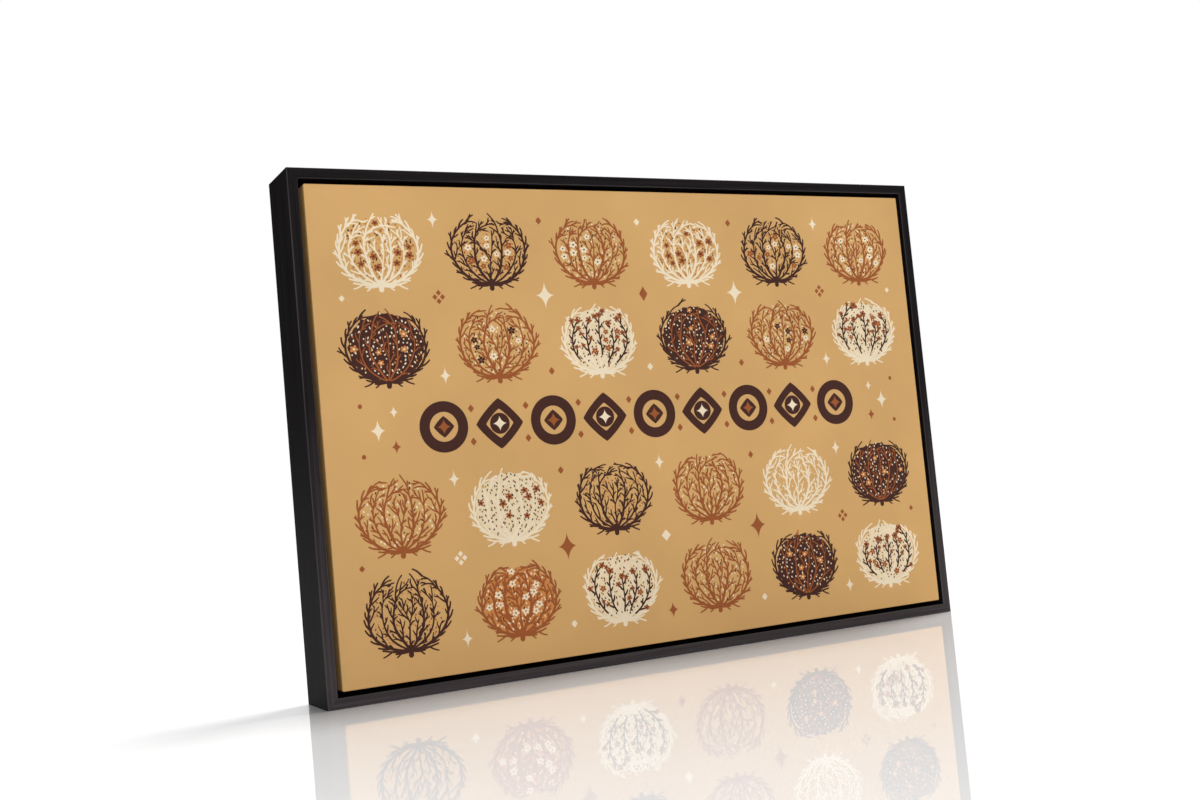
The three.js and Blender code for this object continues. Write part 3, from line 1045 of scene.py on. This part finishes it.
def twig(rng, base, course, bend, length, count):
    """A short curve that sets out on a course and turns steadily through bend."""
    s = np.linspace(0, 1, count)
    kink = 0.12 * s * np.sin(FULL_TURN * (s + rng.random()))
    steps = heading(course + bend * s + kink)[:-1] * length / (count - 1)
    return np.vstack([base, base + np.cumsum(steps, axis=0)])


TWIG_ANGLE = (0.42, 0.78)  # range of a twig's lean from its bough
TWIG_LIMIT = 0.93  # no twig goes further than this from the globe's middle
SHORTEST_TWIG = 4  # points


def grow(bush, ink, parent, layer, spacing, reach, width, forks):
    """Twigs along a parent line on alternate sides. Each is cut short where it would come too
    near anything drawn, and left out where that leaves a stump."""
    rng = bush.rng
    along = lengths_along(parent)
    low = 0.16 if along[-1] > 1 else 0.05
    places = np.arange(low + 0.4 * spacing, along[-1] - 0.01, spacing)
    first = rng.integers(2)
    for i, place in enumerate(places + rng.uniform(-0.25, 0.25, len(places)) * spacing):
        base, course = place_on(parent, along, place)
        hand = 1 if (i + first) % 2 else -1
        angle = rng.uniform(*TWIG_ANGLE)
        length = rng.uniform(*reach) * (1 - 0.3 * place / along[-1])
        line = twig(rng, base, course + hand * angle, -0.7 * hand * angle, length, 8)
        run = np.linspace(0, length, len(line))
        free = bush.gaps(line) > np.minimum(CLEARANCE, 0.40 * run)
        free &= np.linalg.norm(line, axis=1) < max(TWIG_LIMIT, np.linalg.norm(base))
        free[:2] = True
        kept = len(free) if free.all() else int(np.argmin(free))
        if kept < SHORTEST_TWIG:
            continue
        line = line[:kept]
        bush.stroke(ink, line, np.linspace(width, 0.6 * width, kept), layer)
        if forks:
            shorter = (0.45 * length, 0.75 * length)
            grow(bush, ink, line, layer, 0.75 * spacing, shorter, 0.86 * width, forks - 1)


PRONGS = ((0.30, 1.0), (-0.22, 0.7))  # how far each leans from its bough, and its bend
PRONG_REACH = (0.95, 1.25)  # range of its length, over the way left to the crown
PRONG_LIMIT = 1.07  # from the globe's middle


def prongs(bush, ink, line, hand, width, layer):
    """A bough's end: two long twigs that part and lean over the crown. Both end a little way
    outside the globe."""
    rng = bush.rng
    tip, course = place_on(line, lengths_along(line), 9)
    reach = max(0.24, 1.0 - tip[1])
    for part, bend in PRONGS:
        spread = hand * (part + rng.uniform(-0.08, 0.08))
        turn = hand * (bend + rng.uniform(-0.2, 0.2))
        prong = twig(rng, tip, course + spread, turn, rng.uniform(*PRONG_REACH) * reach, 10)
        outer = prong[4:]
        clear = (bush.gaps(outer) > 0.06) & (np.linalg.norm(outer, axis=1) < PRONG_LIMIT)
        kept = 10 if clear.all() else 4 + int(np.argmin(clear))
        prong = prong[: max(kept, 5)]
        bush.stroke(ink, prong, np.linspace(width, 0.7 * TWIG, len(prong)), layer)
        yield prong


BRISTLE_START = 0.42  # from the bough's foot
BRISTLE_ANGLE = (0.38, 0.60)
BRISTLE_LENGTH = (0.20, 0.34)
BRISTLE_STEP = (0.19, 0.28)
BRISTLE_FORKS = 0.4  # share of them


def bristle(bush, ink, parent, hand, layer):
    """Twigs on the outer side of an outline bough, lying back along it."""
    rng = bush.rng
    along = lengths_along(parent)
    place = BRISTLE_START
    while place < along[-1] + 0.02:
        base, course = place_on(parent, along, place)
        angle = hand * rng.uniform(*BRISTLE_ANGLE)
        length = rng.uniform(*BRISTLE_LENGTH)
        line = twig(rng, base, course + angle, -1.2 * angle, length, 7)
        bush.stroke(ink, line, np.linspace(1.15, 0.8, len(line)) * TWIG, layer)
        if rng.random() < BRISTLE_FORKS:
            fork = twig(rng, line[3], course + 1.5 * angle, -0.6 * angle, 0.42 * length, 4)
            bush.stroke(ink, fork, np.linspace(0.9, 0.7, len(fork)) * TWIG, layer)
        place += rng.uniform(*BRISTLE_STEP)


FOOT_TWIGS = ((0.34, 0.34, 0.5), (0.08, 0.62, 0.45))  # how far each droops, its length, its rise
STUB = np.array([[0, -0.90], [0, -0.96], [0.004, -1.03], [0, -1.08]])
STUB_WIDTHS = np.array([0.20, 0.16, 0.12, 0.13])


def foot(bush, ink, layer):
    """The short stub and the splayed twigs on each side of it."""
    rng = bush.rng
    for hand in (-1, 1):
        for drop, reach, rise in FOOT_TWIGS:
            course = math.pi / 2 - hand * (math.pi / 2 + drop)
            length = reach * rng.uniform(0.8, 1.15)
            line = twig(rng, np.array([0, -0.95]), course, rise * hand, length, 7)
            bush.stroke(ink, line, np.linspace(1.4, 0.8, len(line)) * TWIG, layer)
            fork = twig(rng, line[4], course - 0.55 * hand, 0.4 * hand, 0.4 * reach, 4)
            bush.stroke(ink, fork, np.linspace(0.9, 0.7, len(fork)) * TWIG, layer)
    bush.stroke(ink, STUB, STUB_WIDTHS, layer)


def superellipse(half_width, half_height, power, count):
    """A star, lozenge or disc: |x/a|^p + |y/b|^p = 1, with p under 1, 1 or 2."""
    turn = np.linspace(0, FULL_TURN, count, endpoint=False)
    side, up = np.cos(turn), np.sin(turn)
    across = half_width * np.sign(side) * np.abs(side) ** (2 / power)
    rise = half_height * np.sign(up) * np.abs(up) ** (2 / power)
    return np.stack([across, rise], axis=1)


def petals(radius, turn):
    """A five-petalled outline: the radius swells and dips as |cos(2.5 angle)|."""
    angle = np.linspace(0, FULL_TURN, 30, endpoint=False)
    reach = radius * (0.52 + 0.48 * np.abs(np.cos(2.5 * angle)) ** 0.7)
    return heading(angle + turn) * reach[:, None]


def scatter(bush, count, size, clear, within, apart=0.0):
    """Free places for marks of one size, spread through the globe and clear of each other."""
    rng = bush.rng
    turn, reach = rng.uniform(0, FULL_TURN, 900), within * np.sqrt(rng.random(900))
    spots = heading(turn) * reach[:, None]
    spots = spots[bush.gaps(spots) > size + clear]
    chosen = np.zeros((0, 2))
    for spot in spots:
        if len(chosen) == count:
            break
        if (((chosen - spot) ** 2).sum(axis=1) > (2 * size + clear + apart) ** 2).all():
            chosen = np.vstack([chosen, spot])
    bush.taken = np.vstack([bush.taken, chosen])
    return chosen


def blossom(bush, petal_ink, middle, spot, size):
    """Five petals with a small disc on them."""
    bush.shape(petal_ink, spot + petals(size, bush.rng.uniform(0, FULL_TURN)), 4)
    bush.shape(middle, spot + superellipse(0.26 * size, 0.26 * size, 2, 8), 5)


def sprig(bush, ink, stem):
    """A thin stem with short leafy twigs on alternate sides, and blossoms at its tip and on some
    of the twigs."""
    rng = bush.rng
    bush.stroke(ink, stem, np.linspace(1.0, 0.75, len(stem)) * TWIG, 3)
    along = lengths_along(stem)
    hand = 1 if rng.random() < 0.5 else -1
    for share in np.arange(0.10, 0.95, 0.16 / along[-1]):
        point, way = place_on(stem, along, share * along[-1])
        reach = rng.uniform(0.12, 0.26)
        leaf = twig(rng, point, way + 0.7 * hand, -0.4 * hand, reach, 5)
        bush.stroke(ink, leaf, np.array([0.8, 1.0, 1.0, 0.9, 0.6]) * TWIG, 3)
        if reach > 0.21:
            blossom(bush, "rust", "brown", leaf[-1], rng.uniform(0.065, 0.085))
        hand = -hand
    blossom(bush, "rust", "brown", stem[-1], rng.uniform(0.09, 0.11))


SPRIGS = (-0.76, -0.36, 0.04, 0.40, 0.78)  # how far each sprig's stem bulges
SPRIG_START = (0.12, 0.28)  # ranges, as shares of the way from foot to crown
SPRIG_RISE = (0.42, 0.64)
BLOSSOM_ROOM = 0.085
BLOSSOM_SIZE = (0.080, 0.110)
DAB_ROOM = 0.018
# Twigs on a filled globe and on an open one: how far apart they stand, and their range of lengths.
SPARSE = ((0.34, (0.24, 0.40)),)
DENSE = ((0.22, (0.40, 0.62)), (0.13, (0.22, 0.38)))
RIBS = (  # how far each bough bulges, and how much of the way to the crown it goes
    (-0.97, 0.78),
    (0.97, 0.76),
    (-0.36, 0.70),
    (0.34, 0.74),
    (-0.68, 0.70),
    (0.66, 0.62),
    (0.03, 0.34),
)


def tumbleweed(
    seed, boughs, twigs=None, inner=1, fill=None, bushy=False, sprigs=None, dabs=(), blossoms=()
):
    """One bush: boughs like a globe's meridians, bristles outside, twigs, blossoms and dabs. The
    boughs inside the outline are made finer by inner."""
    bush = Bush(seed)
    rng = bush.rng
    twigs = twigs or boughs
    if fill:
        turn = np.linspace(0, FULL_TURN, 90, endpoint=False)
        reach = 0.93 - 0.05 * np.maximum(0, np.sin(turn)) + 0.02 * rng.standard_normal(90)
        bush.shape(fill, heading(turn) * reach[:, None], 0)
    ribs = []
    for bulge, end in RIBS:
        outline = abs(bulge) > 0.9
        hand = np.sign(bulge)
        shift = 0 if outline else rng.uniform(-0.06, 0.06)
        line = rib(rng, bulge + shift, end + rng.uniform(-0.04, 0.04))
        thick = BOUGH if outline or 0.2 < abs(bulge) < 0.5 else 0.72 * BOUGH
        ink, layer = (boughs, 2) if outline else (twigs, 3)
        thick *= 1 if outline else inner
        run = np.linspace(0, 1, len(line))
        swell = np.minimum(1, 0.72 + 1.4 * run) - 0.5 * run**0.8
        bush.stroke(ink, line, thick * swell, layer)
        ribs.append((line, ink, layer))
        tips = list(prongs(bush, ink, line, hand, 0.5 * thick, layer))
        ribs.extend((tip, ink, layer) for tip in tips)
        if outline:
            bristle(bush, ink, line, -hand, layer)
            bristle(bush, ink, tips[1], -hand, layer)
    foot(bush, boughs, 2)
    if sprigs:
        for across in SPRIGS:
            start = rng.uniform(*SPRIG_START)
            stem = rib(rng, across, start + rng.uniform(*SPRIG_RISE), start)
            sprig(bush, sprigs, stem)
    flowers = []
    for petal_ink, middle, count in blossoms:
        for spot in scatter(bush, count, BLOSSOM_ROOM, 0.03, 0.80):
            flowers.append((petal_ink, middle, spot))
            ring = spot + 0.06 * heading(np.linspace(0, FULL_TURN, 8, endpoint=False))
            bush.taken = np.vstack([bush.taken, ring])
    for spacing, reach in DENSE if bushy or not fill else SPARSE:
        for line, ink, layer in ribs:
            grow(bush, ink, line, layer, spacing, reach, inner * TWIG, 1)
    for petal_ink, middle, spot in flowers:
        blossom(bush, petal_ink, middle, spot, rng.uniform(*BLOSSOM_SIZE))
    for ink, count in dabs:
        for spot in scatter(bush, count, DAB_ROOM, 0.022, 0.88, 0.035):
            turn = rng.uniform(0.9, 2.2)
            long, wide = rng.uniform(0.020, 0.042), rng.uniform(0.015, 0.021)
            mark = superellipse(long, wide, 2, 8)
            side, up = heading(turn), heading(turn + math.pi / 2)
            bush.shape(ink, spot + mark[:, :1] * side + mark[:, 1:] * up, 4)
    return bush


# The small ornaments between the bushes, row by row: a row's height above the middle, and what
# stands in each gap between two columns.
ORNAMENT_ROWS = (
    (175, ("small_star", "rust_drop", "cream_drop", "rust_drop", "small_star")),
    (109, ("four_drops", "big_star", "tall_drop", "big_star", "four_drops")),
    (42.6, ("small_star", "rust_drop", "cream_drop", "rust_drop", "small_star")),
    (-43.8, ("small_star", "rust_drop", "small_star", "rust_drop", "small_star")),
    (-109.4, ("cream_four", "rust_star", "wide_drop", "rust_star", "four_drops")),
    (-175.8, ("small_star", "cream_drop", "low_star", "cream_drop", "small_star")),
)
# Each ornament: its ink, half width, half height and the power of its superellipse.
ORNAMENTS = {
    "small_star": ("cream", 5.4, 8.2, 0.52),
    "big_star": ("cream", 9.4, 12.6, 0.55),
    "rust_star": ("rust", 9.0, 12.2, 0.6),
    "low_star": ("rust", 5.2, 7.4, 0.6),
    "rust_drop": ("rust", 2.7, 3.3, 1.1),
    "cream_drop": ("cream", 2.9, 3.3, 1.1),
    "tall_drop": ("rust", 4.3, 6.7, 1.0),
    "wide_drop": ("cream", 4.7, 5.2, 1.0),
    "dot": ("rust", 1.8, 1.9, 2.0),
    "pale_dot": ("cream", 2.4, 2.6, 1.2),
    "rust_dot": ("rust", 2.3, 2.5, 1.2),
    "end_star": ("cream", 6.9, 9.8, 0.55),
    "near_star": ("cream", 4.0, 5.8, 0.55),
    "near_rust": ("rust", 4.4, 6.0, 0.6),
}
CLUSTERS = {"four_drops": "rust", "cream_four": "cream"}
# Ornaments at the sides, mirrored left and right: how far out, how high, and what.
SIDE_ORNAMENTS = (
    (259, 0, "end_star"),
    (244.5, 14.5, "near_star"),
    (244.5, -14, "near_rust"),
    (272.5, 20.5, "dot"),
    (272.5, -20.5, "dot"),
    (280.5, 109, "pale_dot"),
    (281.5, -109.4, "rust_dot"),
)


class Print:
    """Thin closed solids of ink on the cloth, gathered by colour. Each stands a hair higher than
    the one drawn before it in the same motif, so that no two tops coincide where they overlap."""

    def __init__(self):
        self.solids = {ink: [] for ink in INKS}
        self.loops = {ink: [] for ink in INKS}

    def level(self, rank):
        """The depth of a mark's top: a first height and a step for each mark below it."""
        return CANVAS_LOW[1] - (INK_HEIGHT + INK_STEP * rank)

    def rings(self, flat, depths):
        """Flat points, as rings x points x 2, with a depth for each point of a ring."""
        depths = np.broadcast_to(depths, flat.shape[:2])
        return np.stack([flat[..., 0], depths, PRINT_MIDDLE + flat[..., 1]], axis=-1)

    def stroke(self, ink, line, widths, rank):
        """A ribbon: the line's points pushed out to both sides by half its width, with a
        narrower one past each end to round it."""
        course = np.gradient(line, axis=0)
        course /= np.linalg.norm(course, axis=1)[:, None]
        tips = line[[0, -1]] + course[[0, -1]] * widths[[0, -1], None] * [[-0.4], [0.4]]
        line = np.vstack([tips[:1], line, tips[1:]])
        course = np.vstack([course[:1], course, course[-1:]])
        half = 0.5 * np.concatenate([[0.5 * widths[0]], widths, [0.5 * widths[-1]]])
        across = np.stack([-course[:, 1], course[:, 0]], axis=1) * half[:, None]
        flat = np.stack([line - across, line + across, line + across, line - across], axis=1)
        top = self.level(rank)
        self.solids[ink].append(self.rings(flat, np.array([top, top, INK_BASE, INK_BASE])))

    def shape(self, ink, outline, rank):
        """A plate: the outline at the cloth and again at its top."""
        flat = np.stack([outline, outline])
        self.solids[ink].append(self.rings(flat, np.array([[INK_BASE], [self.level(rank)]])))

    def hoop(self, ink, outline, inner, rank):
        """The band between two outlines that have the same number of points."""
        flat = np.stack([outline, inner, inner, outline], axis=1)
        top = self.level(rank)
        self.loops[ink].append(self.rings(flat, np.array([top, top, INK_BASE, INK_BASE])))

    def ornament(self, name, x, z):
        """A small star, lozenge or disc about a place."""
        ink, half_width, half_height, power = ORNAMENTS[name]
        outline = superellipse(half_width, half_height, power, 32)
        self.shape(ink, outline + (x, z), 1)

    def cluster(self, ink, x, z):
        """Four small lozenges round a place."""
        lozenge = superellipse(2.3, 2.5, 1.0, 8)
        for across, up in ((0, 3.6), (0, -3.6), (3.4, 0), (-3.4, 0)):
            self.shape(ink, lozenge + (x + across, z + up), 1)

    def bush(self, x, z, seed, kind):
        """A bush of one kind about a place, brought from its own units to its size."""
        drawn = tumbleweed(seed, **BUSHES[kind])
        size = BUSH_RADIUS * np.array([1, GLOBE_SQUASH])
        for rank, (layer, ink, line, widths) in enumerate(drawn.marks()):
            if widths is None:
                self.shape(ink, line * size + (x, z), rank)
            else:
                self.stroke(ink, line * size + (x, z), widths * BUSH_RADIUS, rank)


BAND_MOTIFS = 9
BAND_PITCH = 50.5
BAND_HALF = 21.5
BAND_OPENING = 0.58  # a hoop's opening over its outside
CORE_HALF = 9.0
STAR_HALF = 6.5
DISC, LOZENGE, STAR = 2.0, 1.15, 0.62  # powers of their superellipses


def middle_band(sheet):
    """Discs and lozenges in turn: each is a dark hoop round a dark core of the other shape, with
    a small star on it."""
    for i in range(BAND_MOTIFS):
        x = (i - (BAND_MOTIFS - 1) / 2) * BAND_PITCH
        outside, inside, star_ink = (LOZENGE, DISC, "cream") if i % 2 else (DISC, LOZENGE, "rust")
        outer = superellipse(BAND_HALF, BAND_HALF, outside, 48)
        sheet.hoop("brown", outer + (x, 0), BAND_OPENING * outer + (x, 0), 1)
        sheet.shape("brown", superellipse(CORE_HALF, CORE_HALF, inside, 48) + (x, 0), 1)
        sheet.shape(star_ink, superellipse(STAR_HALF, STAR_HALF, STAR, 32) + (x, 0), 2)
        if i:
            for up in (-14, 14):
                sheet.ornament("rust_drop", x - BAND_PITCH / 2, up)


def draw_print():
    """The bushes, the ornaments and the band, as one piece for each ink."""
    sheet = Print()
    for row, (z, kinds) in enumerate(BUSH_ROWS):
        kinds = kinds.split()
        for column, kind in enumerate(kinds):
            x = (column - (len(kinds) - 1) / 2) * COLUMN_PITCH
            sheet.bush(x, z, FIRST_SEED + len(kinds) * row + column, kind)
    for z, names in ORNAMENT_ROWS:
        for i, name in enumerate(names):
            x = (i - (len(names) - 1) / 2) * COLUMN_PITCH
            if name in CLUSTERS:
                sheet.cluster(CLUSTERS[name], x, z)
            else:
                sheet.ornament(name, x, z)
    for out, z, name in SIDE_ORNAMENTS:
        for hand in (-1, 1):
            sheet.ornament(name, hand * out, z)
    middle_band(sheet)
    for ink in INKS:
        if not sheet.solids[ink]:
            continue
        points, faces = tubes(sheet.solids[ink], sheet.loops[ink])
        piece = add_piece(f"print_{ink}", points, faces, PRINTED[ink], slot=f"ink_{ink}")
        add_cloth_map(piece.data, points[:, [0, 2]] - (0, PRINT_MIDDLE))


draw_print()


# ---- Stage, light and camera ----------------------------------------------------------------


def stage_floor():
    """A pale polished floor, 60 m across."""
    finish = Finish("pale_floor", tint(248, 248, 248), 0.0)
    mesh = bpy.data.meshes.new("floor")
    corners = [(-30, -30, 0), (30, -30, 0), (30, 30, 0), (-30, 30, 0)]
    mesh.from_pydata(corners, [], [(0, 1, 2, 3)])
    mesh.materials.append(finish.material)
    floor = bpy.data.objects.new("floor", mesh)
    bpy.context.scene.collection.objects.link(floor)
    floor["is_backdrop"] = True


DARK_COURSE = (-0.777, 0.629, 0)  # towards the middle of the world's dark patch
DARK_EDGE = (0.60, 0.72)  # cosines from that course where the patch starts, and is full
WORLD_LIGHT = (0.48, 0.02)  # strengths outside the patch and inside it


def studio_world():
    """White behind the object and in the polished floor. As a light it is dimmer, with one broad
    dark patch at the back left, which keeps the frame's left side nearly black."""
    world = bpy.data.worlds.new("studio")
    bpy.context.scene.world = world
    world.use_nodes = True
    nodes, links = world.node_tree.nodes, world.node_tree.links
    where = nodes.new("ShaderNodeTexCoord")
    aim = nodes.new("ShaderNodeVectorMath")
    aim.operation = "DOT_PRODUCT"
    aim.inputs[1].default_value = DARK_COURSE
    links.new(where.outputs["Generated"], aim.inputs[0])
    dim = nodes.new("ShaderNodeMapRange")
    links.new(aim.outputs["Value"], dim.inputs["Value"])
    for socket, value in enumerate(DARK_EDGE + WORLD_LIGHT, start=1):
        dim.inputs[socket].default_value = value
    strength = dim.outputs["Result"]
    ray = nodes.new("ShaderNodeLightPath")
    for kind in ("Is Camera Ray", "Is Singular Ray"):
        brighter = nodes.new("ShaderNodeMath")
        brighter.operation = "MAXIMUM"
        links.new(strength, brighter.inputs[0])
        links.new(ray.outputs[kind], brighter.inputs[1])
        strength = brighter.outputs[0]
    nodes["Background"].inputs["Color"].default_value = (1, 1, 1, 1)
    links.new(strength, nodes["Background"].inputs["Strength"])


# Each soft light: its strength, where it comes from, and its spread in degrees.
SUNS = {
    "overhead": (2.4, (0.40, 0.09, 0.91), 20),
    "fill": (1.62, (-0.25, -0.97, 0.02), 12),
    "rear": (1.4, (0.25, 0.85, 0.45), 25),
}


def soft_sun(name, strength, place, spread):
    """Soft light from a place's direction. Nothing mirrors it."""
    light = bpy.data.lights.new(name, "SUN")
    light.energy = strength
    light.angle = math.radians(spread)
    lamp = bpy.data.objects.new(name, light)
    lamp.rotation_mode = "QUATERNION"
    lamp.rotation_quaternion = Vector(place).to_track_quat("Z", "Y")
    lamp.visible_glossy = False
    bpy.context.scene.collection.objects.link(lamp)


TARGET = Vector((-0.0543, -0.0305, 0.2311))  # in metres, as is the distance
DISTANCE = 1.1873
AZIMUTH, ELEVATION, ROLL = (math.radians(a) for a in (-27.69, -3.89, 5.29))
LENS = 40.40  # focal length and sensor width, in millimetres
SENSOR = 36


def place_camera():
    """Looks at the target from a distance, low and from the left, and leans about its own line
    of sight."""
    course = Vector((
        math.sin(AZIMUTH) * math.cos(ELEVATION),
        -math.cos(AZIMUTH) * math.cos(ELEVATION),
        math.sin(ELEVATION),
    ))
    level = (-course).cross(Vector((0, 0, 1))).normalized()
    upright = level.cross(-course)
    up = math.cos(ROLL) * upright + math.sin(ROLL) * level
    right = (-course).cross(up)
    data = bpy.data.cameras.new("camera")
    data.lens = LENS
    data.sensor_width = SENSOR
    camera = bpy.data.objects.new("camera", data)
    turn = Matrix((right, up, course)).transposed().to_4x4()
    camera.matrix_world = Matrix.Translation(TARGET + DISTANCE * course) @ turn
    bpy.context.scene.collection.objects.link(camera)
    bpy.context.scene.camera = camera


stage_floor()
studio_world()
for name, sun in SUNS.items():
    soft_sun(name, *sun)
place_camera()
bpy.context.scene.view_settings.view_transform = "Standard"

boxes = {"cad": cad_box, "visual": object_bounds()}
{name: [list(corner) for corner in box] for name, box in boxes.items()}
